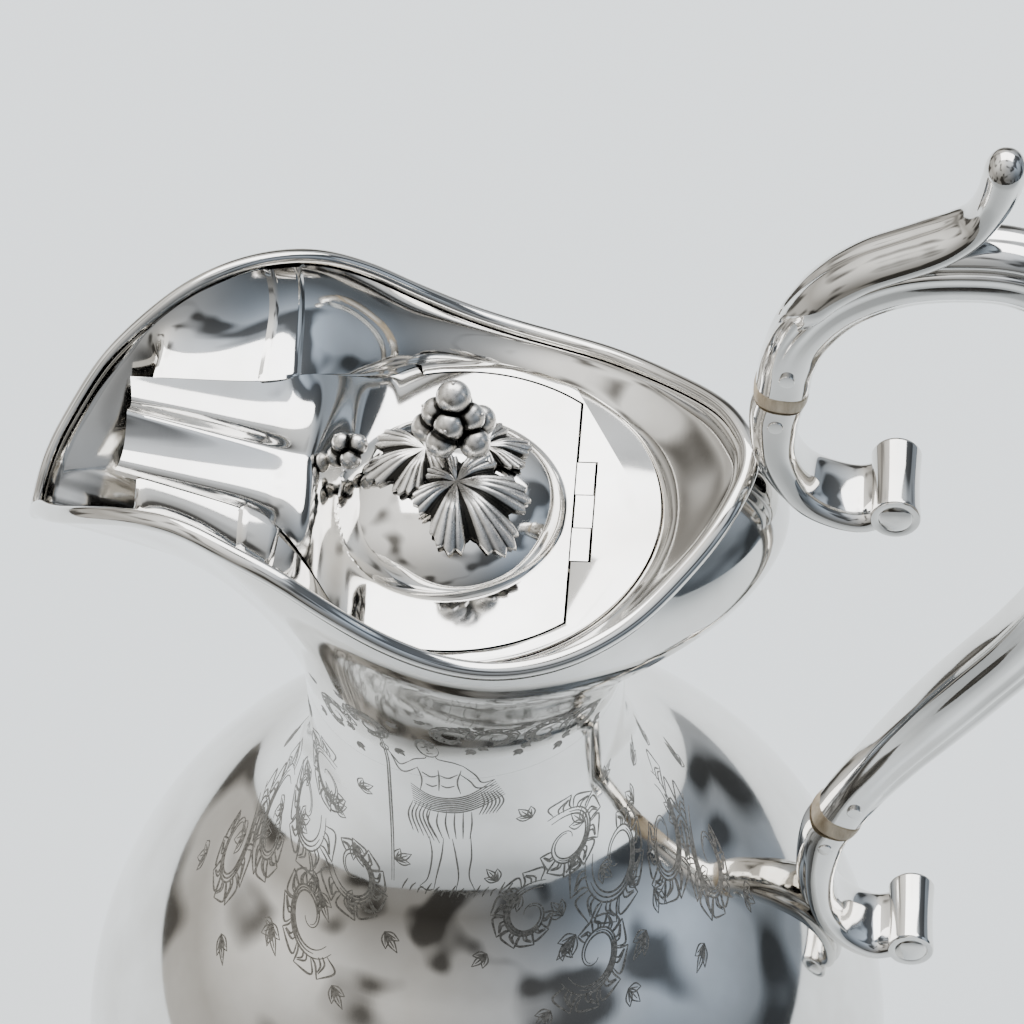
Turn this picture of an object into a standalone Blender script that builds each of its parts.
"""Covered silver water pitcher: round body and neck, helmet-shaped mouth, hinged lid with a spout cover and a
grape finial, and a scroll handle held between two insulators by cross pins. Millimetres in, metres out.
+Z is up, the spout points along -X and the handle stands at +X. The functions below work in millimetres from the
axis of the body at the table; finish() moves every piece so the origin is the bottom centre of the whole pitcher."""

import math

import bmesh
import bpy
import numpy as np
from mathutils import Vector

MM = 0.001
GAP = 0.3  # clearance between pieces that touch on the real object

# Driving dimensions, in millimetres
CENTRE_X = 25.1  # middle of the whole pitcher in X, measured from the axis of the body
BODY_R = 89.0
BODY_Z = 115.0  # height of the widest part of the body
LOWER_DEPTH = 92.0  # half-height of the ellipse below the widest part
WALL = 1.4
NECK_R = 33.0
PLATE_Z = 285.0  # top of the flat plate inside the mouth
NECK_TOP = PLATE_Z - 45.0
PLATE_R = 41.2
LID_R = 37.9
PLATE_T = 1.2

HINGE_X = 25.7
HINGE_DROP = 1.3  # hinge axis below the top of the plate
KNUCKLE_HALF = 1.7
KNUCKLE_REACH = 1.9  # from the hinge axis to the square side of a knuckle
KNUCKLE_LEN = 8.7
PIN_R = 0.7
LID_EDGE_X = HINGE_X - 2.2
PLATE_EDGE_X = HINGE_X - 1.7
NOTCH_X = HINGE_X + 2.2
NOTCH_HALF = 1.5 * KNUCKLE_LEN + 2 * GAP

DOME_X = -1.4
DOME_R = 24.0
DOME_H = 11.0
LID_T = 1.2
LIP_ROW = 2 / 3  # share of the inner wall's rows above the lip
LIP_START_X = -4.0  # rim position from which the lip leaves the plate's circle
LID_SIDE_GAP = 0.5
COVER_END_X = -65.0  # front end of the spout cover

SHELL_T = 1.0
LINER_T = 0.8
MOULDING = (1.8, 1.4)  # half-width across the rim, half-height

GRIP_HALF = 7.3  # half-thickness of the handle bar
SCROLL_HALF_Y = 5.8
ROLL_R = 4.6  # roll that ends each scroll
ROLL_LEN = 17.0
SOCKET_HALF = 2.4
CROSS_PIN_R = 1.4

FOOT_R = 50.0
COLUMNS = 48  # round the mouth
TURN_STEPS = 40  # round the body and the foot
BAR_STEPS = 40  # along the handle

# Outer edge of the rim, half of it, from the tip of the spout to the back (x, y, height above the plate)
RIM = (
    (-86.6, 0.0, -3.3), (-84.0, 7.5, 4.1), (-80.0, 14.3, 9.7), (-72.0, 23.1, 18.6), (-60.0, 31.1, 26.6),
    (-50.0, 36.6, 29.8), (-40.0, 42.0, 29.1), (-30.0, 45.9, 26.1), (-20.0, 48.6, 20.0), (-10.0, 49.6, 13.1),
    (0.0, 49.6, 7.7), (10.0, 48.6, 4.5), (20.0, 46.1, 3.5), (30.0, 41.7, 4.2), (40.0, 34.5, 6.4),
    (50.0, 24.0, 10.9), (56.0, 15.4, 14.0), (60.0, 6.0, 15.8), (60.9, 0.0, 16.2),
)

# Inner lip from the plate's circle to the side of the spout cover (x, y)
LIP_TURN = (
    (-3.3, 41.3), (-9.8, 40.3), (-15.0, 37.2), (-20.0, 33.0), (-25.0, 27.6), (-30.0, 22.4), (-36.0, 18.6), (-44.0, 16.87),
)
# Centre line of the handle from the upper insulator round to the lower one (x, height above the plate)
HANDLE_LINE = (
    (65.4, 38.4), (66.4, 44.8), (69.4, 53.4), (76.4, 62.8), (87.0, 69.4), (98.6, 71.4), (110.4, 70.0),
    (121.6, 62.6), (129.0, 50.0), (132.0, 32.0), (131.0, 12.0), (126.6, -9.0), (121.6, -22.6), (114.7, -34.6),
    (106.2, -46.4), (98.3, -57.4), (90.3, -69.2), (84.3, -79.2), (80.6, -86.0), (78.6, -90.2),
)
UPPER_SCROLL_LINE = (
    (64.7, 35.0), (63.7, 29.0), (64.2, 20.4), (68.6, 11.8), (74.6, 7.4), (81.6, 5.9), (87.8, 9.4),
)
LOWER_SCROLL_LINE = (
    (76.4, -94.0), (74.6, -99.0), (73.3, -109.0), (74.6, -118.4), (79.2, -126.0), (86.4, -130.2), (94.0, -127.3),
)


# ---------------------------------------------------------------- materials and mesh helpers

def material(name, colour, roughness, metallic):
    made = bpy.data.materials.get(name) or bpy.data.materials.new(name)
    made.use_nodes = True
    shader = made.node_tree.nodes["Principled BSDF"]
    shader.inputs["Base Color"].default_value = (*colour, 1.0)
    shader.inputs["Roughness"].default_value = roughness
    shader.inputs["Metallic"].default_value = metallic
    made.diffuse_color = (*colour, 1.0)
    return made


def silver():
    return material("silver", (0.93, 0.92, 0.90), 0.08, 1.0)


def oxidised_silver():
    return material("oxidised_silver", (0.55, 0.54, 0.52), 0.3, 1.0)


def ivory():
    return material("horn_insulator", (0.62, 0.53, 0.40), 0.4, 0.0)


def finish(bm, name, surface, sharp_degrees=40.0):
    """Turns a bmesh in millimetres into a named object in metres, shaded smooth up to sharp_degrees."""
    bmesh.ops.recalc_face_normals(bm, faces=bm.faces)
    if bm.calc_volume(signed=True) < 0:
        bmesh.ops.reverse_faces(bm, faces=bm.faces)
    bmesh.ops.translate(bm, vec=(-CENTRE_X, 0, 0), verts=bm.verts)
    bmesh.ops.scale(bm, vec=(MM, MM, MM), verts=bm.verts)
    mesh = bpy.data.meshes.new(name)
    bm.to_mesh(mesh)
    bm.free()
    mesh.shade_smooth()
    mesh.set_sharp_from_angle(angle=math.radians(sharp_degrees))
    made = bpy.data.objects.new(name, mesh)
    made.data.materials.append(surface)
    bpy.context.scene.collection.objects.link(made)
    return made


def cutter(made):
    made.hide_render = True
    made.display_type = "WIRE"
    return made


def boolean(target, other, operation="DIFFERENCE"):
    modifier = target.modifiers.new(operation.lower() + "_" + other.name, "BOOLEAN")
    modifier.operation = operation
    modifier.object = other
    return modifier


def lathe(name, profile, surface, segments=48, sharp=40.0):
    """A closed (radius, z) outline turned about the Z axis. Points at radius 0 become poles."""
    bm = bmesh.new()
    verts = [bm.verts.new((r, 0.0, z)) for r, z in profile]
    closed = profile[0][0] > 0 or profile[-1][0] > 0
    pairs = zip(verts, verts[1:] + verts[:1] if closed else verts[1:])
    edges = [bm.edges.new(pair) for pair in pairs]
    bmesh.ops.spin(
        bm, geom=verts + edges, cent=(0, 0, 0), axis=(0, 0, 1), angle=2 * math.pi, steps=segments, use_merge=True
    )
    bmesh.ops.remove_doubles(bm, verts=bm.verts, dist=0.001)
    return finish(bm, name, surface, sharp)


def ring_solid(rings, closed_path=False):
    """A bmesh through equal rings of points: capped at both ends, or joined end to end."""
    bm = bmesh.new()
    rows = [[bm.verts.new(p) for p in ring] for ring in rings]
    count = len(rows[0])
    spans = len(rows) if closed_path else len(rows) - 1
    for j in range(spans):
        a, b = rows[j], rows[(j + 1) % len(rows)]
        for i in range(count):
            k = (i + 1) % count
            bm.faces.new((a[i], a[k], b[k], b[i]))
    if not closed_path:
        bm.faces.new(rows[0][::-1])
        bm.faces.new(rows[-1])
    return bm


def sheet_solid(front, back):
    """A bmesh from two equal grids (rows x columns), columns closing on themselves: a tube-like wall."""
    return ring_solid([*front, *back[::-1]], closed_path=True)


def cylinder(name, centre, radius, length, surface, axis="Y", segments=24):
    bm = bmesh.new()
    bmesh.ops.create_cone(
        bm, cap_ends=True, segments=segments, radius1=radius, radius2=radius, depth=length
    )
    if axis == "Y":
        for v in bm.verts:
            v.co = Vector((v.co.x, v.co.z, v.co.y))
    bmesh.ops.translate(bm, vec=centre, verts=bm.verts)
    return finish(bm, name, surface, 30.0)


# ---------------------------------------------------------------- curves

def bezier(a, b, c, d, t):
    s = 1 - t
    return a * s**3 + b * 3 * s * s * t + c * 3 * s * t * t + d * t**3


def smoothstep(low, high, x):
    t = np.clip((x - low) / (high - low), 0, 1)
    return t * t * (3 - 2 * t)


def spline(points, count, closed=False):
    """count points, evenly spaced along a smooth Catmull-Rom curve through the given ones."""
    p = np.array(points, float)
    if closed:
        p = np.vstack([p[-1], p, p[0], p[1]])
    else:
        p = np.vstack([2 * p[0] - p[1], p, 2 * p[-1] - p[-2]])
    fine = []
    for k in range(1, len(p) - 2):
        a, b, c, d = p[k - 1], p[k], p[k + 1], p[k + 2]
        for t in np.linspace(0, 1, 24, endpoint=False):
            fine.append(0.5 * (2 * b + (c - a) * t + (2 * a - 5 * b + 4 * c - d) * t**2 + (3 * b - a - 3 * c + d) * t**3))
    fine.append(p[-2])
    fine = np.array(fine)
    along = np.concatenate([[0], np.cumsum(np.linalg.norm(np.diff(fine, axis=0), axis=1))])
    marks = np.linspace(0, along[-1], count, endpoint=not closed)
    return np.stack([np.interp(marks, along, fine[:, k]) for k in range(fine.shape[1])], 1)


def rim_curve():
    """The middle of the rim moulding, from the back round the +Y side to the spout and back, closed."""
    plus = list(RIM)[::-1]
    minus = [(x, -y, z) for x, y, z in RIM[1:-1]]
    edge = spline(plus + minus, COLUMNS, closed=True)
    along = np.roll(edge, -1, axis=0) - np.roll(edge, 1, axis=0)
    normal = np.stack([-along[:, 1], along[:, 0], 0 * along[:, 0]], 1)
    return edge + normal / np.linalg.norm(normal, axis=1)[:, None] * MOULDING[0]


# ---------------------------------------------------------------- body and foot

def offset_line(points, distance):
    """The outline moved to its left by distance."""
    p = np.array(points, float)
    d = np.gradient(p, axis=0)
    d /= np.linalg.norm(d, axis=1)[:, None]
    return p + distance * np.stack([-d[:, 1], d[:, 0]], 1)


def body_outline():
    """Outer (radius, z) line of the body from the middle of its bottom to the top of the neck."""
    foot_joint = 21.0
    low_angle = math.acos(foot_joint / BODY_R)
    lower = [
        (BODY_R * math.cos(a), BODY_Z - LOWER_DEPTH * math.sin(a)) for a in np.linspace(low_angle, 0, 10)
    ]
    shoulder_r = 52.0
    top_angle = math.acos(shoulder_r / BODY_R)
    upper = [(BODY_R * math.cos(a), BODY_Z + BODY_R * math.sin(a)) for a in np.linspace(0, top_angle, 8)[1:]]
    shoulder = np.array(upper[-1])
    slope = np.array((-math.sin(top_angle), math.cos(top_angle)))
    neck_start = np.array((NECK_R, BODY_Z + 109.0))
    fillet = [
        tuple(bezier(shoulder, shoulder + slope * 14.7, neck_start - (0, 14.7), neck_start, t))
        for t in np.linspace(0, 1, 6)[1:]
    ]
    bottom_z = lower[0][1]
    return [(0.0, bottom_z), (foot_joint * 0.6, bottom_z), *lower, *upper, *fillet, (NECK_R, NECK_TOP)]


def make_body():
    outer = body_outline()
    inner = offset_line(outer, WALL)
    inner[0] = (0.0, outer[0][1] + WALL)
    inner[1] = (outer[1][0], outer[0][1] + WALL)
    inner[-1] = (NECK_R - WALL, NECK_TOP)
    return lathe("body", outer + [tuple(p) for p in inner[::-1]], silver(), TURN_STEPS)


def make_foot():
    """Collar ring under the body, domed foot on it, and the moulded rim that stands on the table."""
    body_bottom = body_outline()[0][1]
    collar_top = body_bottom - GAP
    collar_h = 4.6
    collar = [(8.0, collar_top), (21.5, collar_top), (24.0, collar_top - 1.2), (24.6, collar_top - 2.3),
              (24.0, collar_top - 3.4), (21.5, collar_top - collar_h), (8.0, collar_top - collar_h)]
    lathe("foot_collar", collar, silver(), TURN_STEPS)
    top = collar_top - collar_h - GAP
    base_h = 5.0
    start, end = np.array((20.5, top)), np.array((FOOT_R - 2.5, base_h + GAP))
    dome = [tuple(bezier(start, start - (0, 7.5), end + (-18, 7.5), end, t)) for t in np.linspace(0, 1, 8)]
    under = [tuple(p) for p in offset_line(dome, -WALL)]
    under[0] = (start[0] - WALL - 0.6, top)
    under[-1] = (end[0] - 3.6, end[1])
    lathe("foot_dome", dome + under[::-1], silver(), TURN_STEPS)
    base = [(FOOT_R - 7.0, 0.0), (FOOT_R, 0.0), (FOOT_R + 1.2, 0.9), (FOOT_R + 1.2, 2.0), (FOOT_R + 0.2, 3.1),
            (FOOT_R - 0.6, 4.4), (FOOT_R - 1.8, base_h), (FOOT_R - 7.0, base_h)]
    lathe("foot_rim", base, silver(), TURN_STEPS)


# ---------------------------------------------------------------- mouth

class Mouth:
    """Shared lines of the mouth: each column runs from the neck up to one point of the rim."""

    def __init__(self):
        rim = rim_curve()
        self.rim = rim
        plan = np.arctan2(rim[:, 1], rim[:, 0])
        self.plan = plan
        self.out = np.stack([np.cos(plan), np.sin(plan), 0 * plan], 1)
        self.front = np.clip(-np.cos(plan), 0, 1) ** 6
        self.back = np.clip(np.cos(plan), 0, 1) ** 5
        side = np.stack([-0.2 * self.out[:, 0], -0.2 * self.out[:, 1], -1 + 0 * plan], 1)
        tip = np.stack([-0.93 * self.out[:, 0], -0.93 * self.out[:, 1], -0.36 + 0 * plan], 1)
        down = side + (tip - side) * self.front[:, None]
        along = np.roll(rim, -1, axis=0) - np.roll(rim, 1, axis=0)
        along /= np.linalg.norm(along, axis=1)[:, None]
        down -= along * (down * along).sum(1)[:, None]
        self.down = down / np.linalg.norm(down, axis=1)[:, None]
        self.inward = np.cross(along, self.down)
        self.inward *= np.sign(-(self.inward * self.out).sum(1) + self.inward[:, 2] * self.front)[:, None]

    def fall(self):
        """How the wall leaves the rim: steeply at the sides, flat under the spout, bulging at the back."""
        up = np.array((0, 0, 1.0))
        side = self.out * -3.0 + up * -17
        front = self.out * -31 + up * -11
        back = self.out * 25 + up * -26
        return side + (front - side) * self.front[:, None] + (back - side) * self.back[:, None]

    def shell(self, rows):
        """Outer face of the mouth, rows from neck (0) to rim (-1)."""
        turn = 2 * math.pi * np.arange(COLUMNS) / COLUMNS
        neck = np.stack([NECK_R * np.cos(turn), NECK_R * np.sin(turn), 0 * turn - (PLATE_Z - NECK_TOP)], 1)
        top = self.rim + self.down * (MOULDING[1] + GAP) - self.inward * 1.4
        rise = (20 + 2 * self.back)[:, None] * np.array((0, 0, 1.0))
        return np.array([bezier(neck, neck + rise, top + self.fall(), top, t) for t in rows])

    def normals(self, grid):
        """Unit normals of a grid of rows, pointing into the mouth."""
        across = np.roll(grid, -1, axis=1) - np.roll(grid, 1, axis=1)
        along = np.gradient(grid, axis=0)
        n = np.cross(across, along)
        n /= np.linalg.norm(n, axis=2)[:, :, None]
        flip = np.sign(-(n[0] * self.out).sum(1))[:, None]
        return n * flip

    def lip(self):
        """Line where the inner wall meets the lid: under the plate's ledge, then along the spout cover."""
        x = self.rim[:, 0]
        ring = self.out * (PLATE_R + GAP) + np.array((0, 0, -1.9))
        share = np.clip((LIP_START_X - x) / (LIP_START_X - LIP_TURN[-1][0]), 0, 1)
        turn_in = spline(LIP_TURN, 101)
        marks = np.linspace(0, 1, len(turn_in))
        lip_x = np.minimum(np.interp(share, marks, turn_in[:, 0]), x + 99 * (x > LIP_TURN[-1][0]))
        lip_y = np.where(x > LIP_TURN[-1][0], np.interp(share, marks, turn_in[:, 1]), cover_half_width(x) + LID_SIDE_GAP)
        lip_z = cover_edge_height(lip_x) - 0.6 - 1.3 * smoothstep(-24.0, -12.0, lip_x)
        lip = np.stack([lip_x, lip_y * np.where(self.rim[:, 1] < 0, -1, 1), lip_z], 1)
        return np.where((x > LIP_START_X)[:, None], ring, lip)

    def liner(self, rows):
        """Inner face that shows above the plate. Rows run from the rim (0) to the lip (LIP_ROW), and from there
        down inside the spout (1)."""
        x = self.rim[:, :1]
        top = self.rim + self.down * (MOULDING[1] + GAP) + self.inward * 1.3
        lip = self.lip()
        drop = np.clip(top - lip, 0, None)[:, 2:]
        level = (top - lip) * (1, 1, 0)
        spout = smoothstep(LIP_START_X, LIP_TURN[-1][0], x)
        fall = self.fall() / np.linalg.norm(self.fall(), axis=1)[:, None]
        lean = self.down * np.minimum(7, 0.4 * drop) * (1 - spout) + fall * 0.8 * drop * spout
        rise = np.array((0, 0, 1)) * np.minimum(6.5, 0.4 * drop) * (1 - spout) + level * 0.55 * spout
        inside = self.shell([0.38])[0] + self.normals(self.shell([0.30, 0.38]))[1] * 3.8
        tail_share = smoothstep(-26.0, -44.0, x)
        tip_share = smoothstep(-62.0, -70.0, x)
        depth = 1 - np.asarray(rows) * 0.62
        gutter = self.shell(depth) + self.normals(self.shell(depth[::-1]))[::-1] * 2.4
        gutter[0] = top
        grid = []
        for row, low in zip(rows, gutter):
            if row <= LIP_ROW + 1e-6:
                point = bezier(top, top + lean, lip + rise, lip, min(row / LIP_ROW, 1))
            else:
                t = (row - LIP_ROW) / (1 - LIP_ROW)
                fall = bezier(lip, lip - (0, 0, 6), inside + (0, 0, 3), inside, t)
                point = fall * tail_share + (lip - (0, 0, 0.7 * t)) * (1 - tail_share)
            grid.append(point + (low - point) * tip_share)
        return np.array(grid)


def lifted(grid):
    return grid + np.array((0, 0, PLATE_Z))


def make_mouth(mouth):
    rows = np.linspace(0, 1, 10)
    outer = mouth.shell(rows)
    inner = outer + mouth.normals(outer) * SHELL_T
    inner[0] = outer[0] * np.array([(NECK_R - SHELL_T) / NECK_R] * 2 + [1])
    outer[0, :, 2] += GAP
    inner[0, :, 2] += GAP
    finish(sheet_solid(lifted(outer), lifted(inner)), "mouth_shell", silver(), 60)

    face = mouth.liner(np.linspace(0, 1, 7))
    hidden = face - mouth.normals(face[::-1])[::-1] * LINER_T
    finish(sheet_solid(lifted(face), lifted(hidden)), "mouth_liner", silver(), 60)

    rings = []
    for turn in np.linspace(0, 2 * math.pi, 8, endpoint=False):
        rings.append(
            lifted(mouth.rim + mouth.inward * MOULDING[0] * math.cos(turn) + mouth.down * MOULDING[1] * math.sin(turn))
        )
    finish(ring_solid(rings, closed_path=True), "rim_moulding", silver(), 60)


# ---------------------------------------------------------------- plate, lid and hinge

def arc(radius, start, end, count):
    return [(radius * math.cos(a), radius * math.sin(a)) for a in np.linspace(start, end, count)]


def flat_solid(name, outline, bottom, top, surface):
    bm = bmesh.new()
    face = bm.faces.new([bm.verts.new((x, y, bottom)) for x, y in outline])
    raised = bmesh.ops.extrude_face_region(bm, geom=[face])["geom"]
    moved = [g for g in raised if isinstance(g, bmesh.types.BMVert)]
    bmesh.ops.translate(bm, vec=(0, 0, top - bottom), verts=moved)
    bmesh.ops.triangulate(bm, faces=[f for f in bm.faces if len(f.verts) > 4])
    return finish(bm, name, surface, 30.0)


def make_plate():
    """The fixed plate behind the hinge with the narrow ledge round the lid, and the strips the lid rests on."""
    ledge_end = math.radians(104)
    hole_r = LID_R + 0.5
    chord = math.acos(PLATE_EDGE_X / hole_r)
    outline = arc(PLATE_R, -ledge_end, ledge_end, 45)
    outline += arc(hole_r, ledge_end, chord, 13)
    outline += [(PLATE_EDGE_X, NOTCH_HALF), (NOTCH_X, NOTCH_HALF), (NOTCH_X, -NOTCH_HALF), (PLATE_EDGE_X, -NOTCH_HALF)]
    outline += arc(hole_r, -chord, -ledge_end, 13)
    flat_solid("mouth_plate", outline, PLATE_Z - PLATE_T, PLATE_Z, silver())
    top = PLATE_Z - PLATE_T - GAP
    for name, side in (("lid_rest_far", 1), ("lid_rest_near", -1)):
        start, end = math.radians(62), math.radians(100)
        strip = arc(PLATE_R - 0.2, side * start, side * end, 10) + arc(LID_R - 3.0, side * end, side * start, 10)
        flat_solid(name, strip, top - 1.0, top, silver())


def cover_half_width(x):
    """Half the width of the spout cover, which narrows towards the tip."""
    return 18.4 + 0.169 * (x + 32.0)


def cover_edge_height(x):
    """Height of the spout cover's side edges above the plate."""
    return 16.0 * smoothstep(-15.0, -33.0, x) + 0.208 * np.clip(-33.0 - x, 0, None)


def cover_ridge_height(x):
    """Height of the spout cover's middle ridge above the plate."""
    return smoothstep(-20.0, -29.0, x) * (13.2 + 0.36 * np.clip(-28.0 - x, 0, None))


def lid_height(x, y, half_width):
    """Top of the lid above the plate: flat rim, round dome, and the cover that rises along the spout with a
    ridge in the middle, a hollow on each side of it and edges that turn up."""
    ridge, edge = cover_ridge_height(x), cover_edge_height(x)
    q = np.clip(np.hypot(y / half_width, 0.05), 0, 1)
    hollow = 2.6 * smoothstep(-22.0, -36.0, x) * np.sin(math.pi * q)
    cover = ridge + (edge - ridge) * q - hollow
    r = np.hypot(x - DOME_X, y) / DOME_R
    dome = DOME_H * np.clip(1 - r**2.3, 0, 1) ** 0.62
    return np.maximum(cover, dome)


def lid_outline(mouth):
    """Edge of the lid seen from above, from the hinge round the +Y side to the spout and back."""
    lip = mouth.lip()[: COLUMNS // 2 + 1]
    order = np.argsort(lip[:, 0])

    def width(x):
        return np.interp(x, lip[order, 0], lip[order, 1]) - LID_SIDE_GAP

    start = math.acos(LID_EDGE_X / LID_R)
    half = [(LID_EDGE_X, y) for y in (0.0, 6.0, 12.0, 18.0)]
    half += arc(LID_R, start, math.radians(104), 12)
    for x in (*np.linspace(-11.0, -36.0, 9), *np.linspace(-36.0, COVER_END_X, 6)[1:]):
        half.append((x, width(x)))
    end_y = half[-1][1]
    half += [(COVER_END_X + 1.2 * (1 - (y / end_y) ** 2), y) for y in (end_y * 0.66, end_y * 0.33)]
    half += [(COVER_END_X + 1.2, 0.0)]
    return half + [(x, -y) for x, y in half[1:-1][::-1]], width


def make_lid(mouth):
    outline, width = lid_outline(mouth)
    edge = np.array(outline)
    centre = np.array((DOME_X, 0.0))
    outward = edge - centre
    circle = outward / np.linalg.norm(outward, axis=1)[:, None] * DOME_R
    rings = [centre + circle * share for share in (0.12, 0.3, 0.48, 0.64, 0.78, 0.9, 0.97, 1.0)]
    rings += [centre + circle + (outward - circle) * share for share in (0.3, 0.65, 1.0)]

    def top(ring):
        half = np.where(ring[:, 0] < -14, width(ring[:, 0]), LID_R)
        z = lid_height(ring[:, 0], ring[:, 1], half)
        return np.column_stack([ring, z + PLATE_Z])

    upper = [top(ring) for ring in rings]
    lower = [ring - (0, 0, LID_T) for ring in upper]
    bm = ring_solid([*upper, *lower[::-1]])
    lid = finish(bm, "lid", silver(), 35)
    boolean(lid, cutter(cylinder("stud_hole", (DOME_X, 0, PLATE_Z + DOME_H), 1.7, 12, silver(), "Z")))
    return lid


def knuckle(name, y, left, right):
    """One barrel of the hinge: round underneath, flat and flush on top, square towards the plate it belongs to."""
    lower = [(KNUCKLE_HALF * math.cos(a), KNUCKLE_HALF * math.sin(a)) for a in np.linspace(0, -math.pi, 9)]
    outline = [(right, HINGE_DROP - 0.05), (right, 0.0), *lower[1:-1], (left, 0.0), (left, HINGE_DROP - 0.05)]
    z = PLATE_Z - HINGE_DROP
    half = KNUCKLE_LEN / 2
    rings = [[(HINGE_X + px, y + side, z + pz) for px, pz in outline] for side in (-half, half)]
    made = finish(ring_solid(rings), name, silver(), 40)
    hole = cylinder("bore_" + name, (HINGE_X, y, z), PIN_R + 0.08, KNUCKLE_LEN + 4, silver())
    boolean(made, cutter(hole))


def make_hinge():
    pitch = KNUCKLE_LEN + GAP
    knuckle("lid_knuckle_near", -pitch, -KNUCKLE_REACH, KNUCKLE_HALF)
    knuckle("lid_knuckle_far", pitch, -KNUCKLE_REACH, KNUCKLE_HALF)
    knuckle("plate_knuckle", 0.0, -KNUCKLE_HALF, KNUCKLE_REACH)
    cylinder("hinge_pin", (HINGE_X, 0, PLATE_Z - HINGE_DROP), PIN_R, 3 * KNUCKLE_LEN + 2 * GAP, silver())


# ---------------------------------------------------------------- finial

def ball(centre, radius, level=2):
    bm = bmesh.new()
    bmesh.ops.create_icosphere(bm, subdivisions=level, radius=radius)
    bmesh.ops.translate(bm, vec=centre, verts=bm.verts)
    return bm


def bunch(name, grapes, surface, level=2):
    """Grapes that overlap each other, joined into one body."""
    first, *rest = grapes
    made = finish(ball(*first, level), name, surface, 80)
    for k, grape in enumerate(rest):
        other = cutter(finish(ball(*grape, level), f"{name}_grape_{k}", surface, 80))
        boolean(made, other, "UNION")
    return made


def vine_leaf(name, x0, y0, radius, heading, tilt, surface, lobes=5):
    """A lobed leaf lying against the dome. heading is the direction of its tip seen from above."""
    angles = np.linspace(0, 2 * math.pi, lobes * 6, endpoint=False)
    edge = radius * (0.84 + 0.16 * np.cos(lobes * angles)) * (0.82 + 0.18 * np.cos(angles))
    cos_h, sin_h = math.cos(heading), math.sin(heading)
    rings = []
    for share in (0.3, 0.65, 1.0):
        x, y = edge * share * np.cos(angles), edge * share * np.sin(angles)
        z = -tilt * x - 0.028 * (x * x + y * y)
        rings.append(np.stack([x0 + x * cos_h - y * sin_h, y0 + x * sin_h + y * cos_h, z], 1))
    every = np.concatenate(rings)
    thickness = 1.0
    lift = np.max(lid_height(every[:, 0], every[:, 1], LID_R) - every[:, 2]) + thickness + GAP + PLATE_Z
    upper = [ring + (0, 0, lift) for ring in rings]
    lower = [ring - (0, 0, thickness) for ring in upper]
    return finish(ring_solid([*upper, *lower[::-1]]), name, surface, 50)


def make_finial():
    """Stud through the dome with its nut, a standing bunch of grapes, a small bunch and three vine leaves."""
    dark = oxidised_silver()
    z = PLATE_Z
    top = z + DOME_H
    stud_top = top + 7.0
    stud_bottom = top - LID_T - 4.0
    cylinder("finial_stud", (DOME_X, 0, (stud_top + stud_bottom) / 2), 1.2, stud_top - stud_bottom, dark, "Z", 16)
    nut = cylinder("finial_nut", (DOME_X, 0, top - LID_T - GAP - 1.7), 3.4, 2.2, silver(), "Z", 6)
    boolean(nut, cutter(cylinder("nut_hole", (DOME_X, 0, top - LID_T - 2), 1.45, 8, silver(), "Z", 16)))
    grape = 3.1
    base = stud_top + GAP + grape
    grapes = [((DOME_X + 2.0, 0.0, base + 1.0), 3.8)]
    for k in range(5):
        a = math.radians(30 + 72 * k)
        grapes.append(((DOME_X + 2.4 + 5.6 * math.cos(a), 5.4 * math.sin(a), base + 1.2 + 1.4 * (k % 2)), grape))
    for k in range(4):
        a = math.radians(80 + 90 * k)
        grapes.append(((DOME_X + 2.2 + 3.3 * math.cos(a), 3.3 * math.sin(a), base + 5.4), grape))
    grapes.append(((DOME_X + 2.4, 0.6, base + 9.8), grape + 0.4))
    bunch("finial_grapes", grapes, dark)
    small = [
        ((-23.4, 4.6, z + 9.4), 2.3), ((-20.6, 2.6, z + 10.8), 2.2), ((-20.8, 7.0, z + 10.4), 2.2),
        ((-22.4, 5.0, z + 12.8), 2.1), ((-19.4, 4.8, z + 12.6), 2.2),
    ]
    bunch("small_grapes", small, dark)
    vine_leaf("leaf_near", 6.8, -10.4, 12.4, math.radians(-60), 0.35, dark)
    vine_leaf("leaf_spout", -10.0, 3.0, 7.8, math.radians(-150), 0.2, dark)
    vine_leaf("leaf_far", 9.4, 9.2, 7.0, math.radians(30), 0.4, dark)


# ---------------------------------------------------------------- handle

def rounded_square(angles, half_u, half_v):
    """Points of a square section with well rounded corners."""
    c, d = np.cos(angles), np.sin(angles)
    return np.sign(c) * np.abs(c) ** 0.75 * half_u, np.sign(d) * np.abs(d) ** 0.75 * half_v


def swept(name, line, section, count, sides=12, grow=0.0):
    """A bar along a line of the XZ plane. section(t) gives the half-sizes in that plane and across it."""
    path = spline(line, count)
    d = np.gradient(path, axis=0)
    d /= np.linalg.norm(d, axis=1)[:, None]
    angles = np.linspace(0, 2 * math.pi, sides, endpoint=False) + math.pi / sides
    rings = []
    for k, (point, direction) in enumerate(zip(path, d)):
        half_u, half_v = section(k / (count - 1))
        u, v = rounded_square(angles, half_u + grow, half_v + grow)
        rings.append(np.stack([point[0] - direction[1] * u, v, PLATE_Z + point[1] + direction[0] * u], 1))
    return finish(ring_solid(rings), name, silver(), 50), path, d


def bar_section(t):
    """The bar is slim at the insulators and full over the grip."""
    swell = 5.3 + (GRIP_HALF - 5.3) * smoothstep(0.0, 0.2, min(t, 1 - t))
    return swell, swell


def scroll_section(t):
    """The scroll starts as thick as the bar, then flattens and widens towards its roll."""
    flat = smoothstep(0.0, 0.75, t)
    return 5.1 + (3.0 - 5.1) * flat, SCROLL_HALF_Y + (0.5 * ROLL_LEN - 0.6 - SCROLL_HALF_Y) * flat


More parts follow.
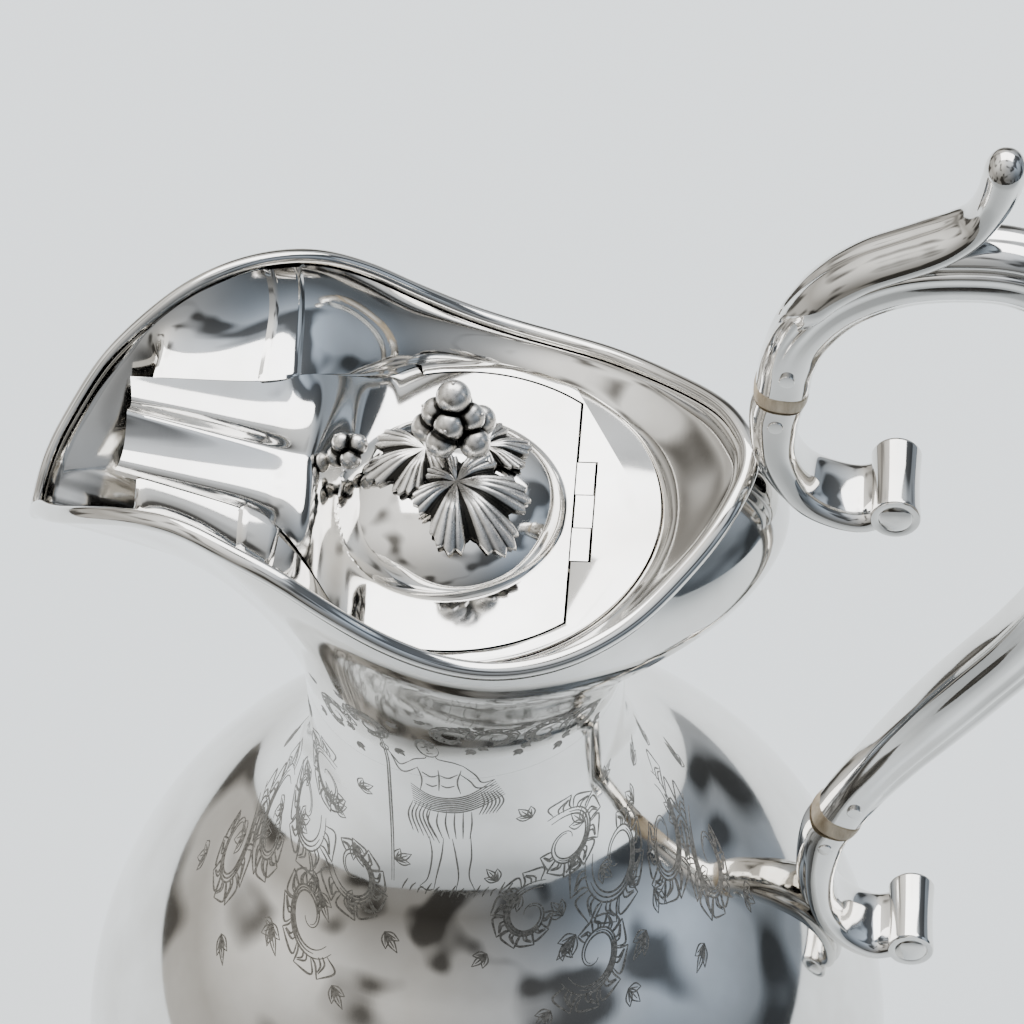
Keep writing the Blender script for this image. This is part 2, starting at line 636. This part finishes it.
def scroll(name, line):
    """A C-shaped scroll whose free end is a cross-wise roll."""
    made, path, d = swept(name, line, scroll_section, 20)
    end = path[-1]
    roll = cylinder(name + "_roll", (end[0], 0, PLATE_Z + end[1]), ROLL_R, ROLL_LEN, silver(), "Y", 20)
    boolean(made, cutter(roll), "UNION")
    return made, path, d


def box_along(name, centre, direction, length, half_u, half_v):
    """A box cutter centred on a point of the handle's plane, long in the given direction."""
    normal = np.array((-direction[1], direction[0]))
    rings = []
    for end in (-length / 2, length / 2):
        corner = centre + direction * end
        ring = []
        for u, v in ((-half_u, -half_v), (half_u, -half_v), (half_u, half_v), (-half_u, half_v)):
            x, z = corner + normal * u
            ring.append((x, v, PLATE_Z + z))
        rings.append(ring)
    return finish(ring_solid(rings), name, ivory(), 30)


def make_joint(name, bar, scroll, bar_end, bar_dir, scroll_end, scroll_dir, half_u, half_v):
    """Insulator disc with a tenon into each neighbour, and a cross pin through each tenon.
    bar_dir and scroll_dir point from the joint into the bar and into the scroll."""
    middle = (bar_end + scroll_end) / 2
    thick = np.linalg.norm(bar_end - scroll_end) - 4 * GAP
    across = (bar_end - scroll_end) / np.linalg.norm(bar_end - scroll_end)
    normal = np.array((-across[1], across[0]))
    rings = []
    for end in (-thick / 2, thick / 2):
        u, v = rounded_square(np.linspace(0, 2 * math.pi, 20, endpoint=False), half_u, half_v)
        x, z = (middle + across * end)[:, None] + normal[:, None] * u
        rings.append(np.stack([x, v, PLATE_Z + z], 1))
    disc = finish(ring_solid(rings), name + "_insulator", ivory(), 30)
    tenon_len = 10.0
    for part, end, way, label, pin_at in (
        (bar, bar_end, bar_dir, "top", 5.9), (scroll, scroll_end, scroll_dir, "bottom", 3.6)
    ):
        tenon = box_along(f"{name}_tenon_{label}", end + way * (tenon_len / 2 - 1.6), way, tenon_len, SOCKET_HALF, SOCKET_HALF)
        boolean(disc, cutter(tenon), "UNION")
        pocket = box_along(f"{name}_pocket_{label}", end + way * (tenon_len / 2 - 1.2), way, tenon_len + 1.0,
                           SOCKET_HALF + GAP, SOCKET_HALF + GAP)
        boolean(part, cutter(pocket))
        at = end + way * pin_at
        spot = (at[0], 0, PLATE_Z + at[1])
        hole = cylinder(f"{name}_hole_{label}", spot, CROSS_PIN_R + GAP, 40, silver(), "Y", 16)
        cutter(hole)
        boolean(part, hole)
        boolean(disc, hole)
        cylinder(f"{name}_pin_{label}", spot, CROSS_PIN_R, 2 * half_v + 1.2, silver(), "Y", 16)


def thumb_leaf(path, d):
    """The leaf that lies along the top of the handle, then lifts into a thumb rest with a rounded tip."""
    spine = []
    for k in range(2, 9):
        lift = bar_section(k / (len(path) - 1))[0] + GAP + 1.5
        spine.append(path[k] + np.array((-d[k][1], d[k][0])) * lift)
    spine += [np.array(p) for p in ((91.5, 82.6), (98.0, 86.8), (102.2, 92.6), (105.0, 99.4))]
    line = spline(spine, 18)
    way = np.gradient(line, axis=0)
    way /= np.linalg.norm(way, axis=1)[:, None]
    rings = []
    for k, (point, direction) in enumerate(zip(line, way)):
        t = k / 17
        width = 1.4 + 5.8 * math.sin(math.pi * min(t * 0.62 + 0.02, 0.5))
        if t > 0.8:
            width *= math.sqrt(max(1 - ((t - 0.8) / 0.215) ** 2, 0.12))
        thick = 1.2 + 1.3 * smoothstep(0.6, 1.0, t)
        drop = 0.045 * (1 - smoothstep(0.55, 0.85, t))
        normal = np.array((-direction[1], direction[0]))
        ring = []
        for a in np.linspace(0, 2 * math.pi, 12, endpoint=False):
            v = width * math.cos(a)
            u = thick * math.sin(a) - drop * v * v
            x, z = point + normal * u
            ring.append((x, v, PLATE_Z + z))
        rings.append(ring)
    leaf = finish(ring_solid(rings), "thumb_leaf", silver(), 60)
    boolean(leaf, cutter(swept("bar_envelope", HANDLE_LINE, bar_section, BAR_STEPS, grow=GAP)[0]))


def envelope(name, grid):
    """A closed solid inside a grid of rows, for cutting a piece that lies against it."""
    return cutter(finish(ring_solid(list(lifted(grid))), name, silver(), 60))


def make_handle(mouth):
    bar, path, d = swept("handle", HANDLE_LINE, bar_section, BAR_STEPS)
    upper, up_path, up_d = scroll("upper_scroll", UPPER_SCROLL_LINE)
    lower, low_path, low_d = scroll("lower_scroll", LOWER_SCROLL_LINE)
    shell = mouth.shell(np.linspace(0, 1, 10))
    grown = shell - mouth.normals(shell) * (GAP + 0.1)
    boolean(upper, envelope("mouth_envelope", grown))
    rings = [mouth.rim + mouth.inward * (MOULDING[0] + GAP) * math.cos(a) + mouth.down * (MOULDING[1] + GAP) * math.sin(a)
             for a in np.linspace(0, 2 * math.pi, 8, endpoint=False)]
    grown_rim = cutter(finish(ring_solid([lifted(r) for r in rings], closed_path=True), "rim_envelope", silver(), 60))
    boolean(upper, grown_rim)
    outline = [tuple(p) for p in offset_line(body_outline(), -(GAP + 0.1))]
    outline[0] = (0.0, outline[0][1])
    outline.append((0.0, outline[-1][1]))
    boolean(lower, cutter(lathe("body_envelope", outline, silver(), TURN_STEPS)))
    make_joint("upper", bar, upper, path[0], d[0], up_path[0], up_d[0], 5.2, 5.6)
    make_joint("lower", bar, lower, path[-1], -d[-1], low_path[0], low_d[0], 5.2, 5.6)
    thumb_leaf(path, d)


# ---------------------------------------------------------------- assembly

def main():
    for old in list(bpy.data.objects):
        bpy.data.objects.remove(old)
    mouth = Mouth()
    make_body()
    make_foot()
    make_mouth(mouth)
    make_plate()
    make_lid(mouth)
    make_hinge()
    make_finial()
    make_handle(mouth)


main()
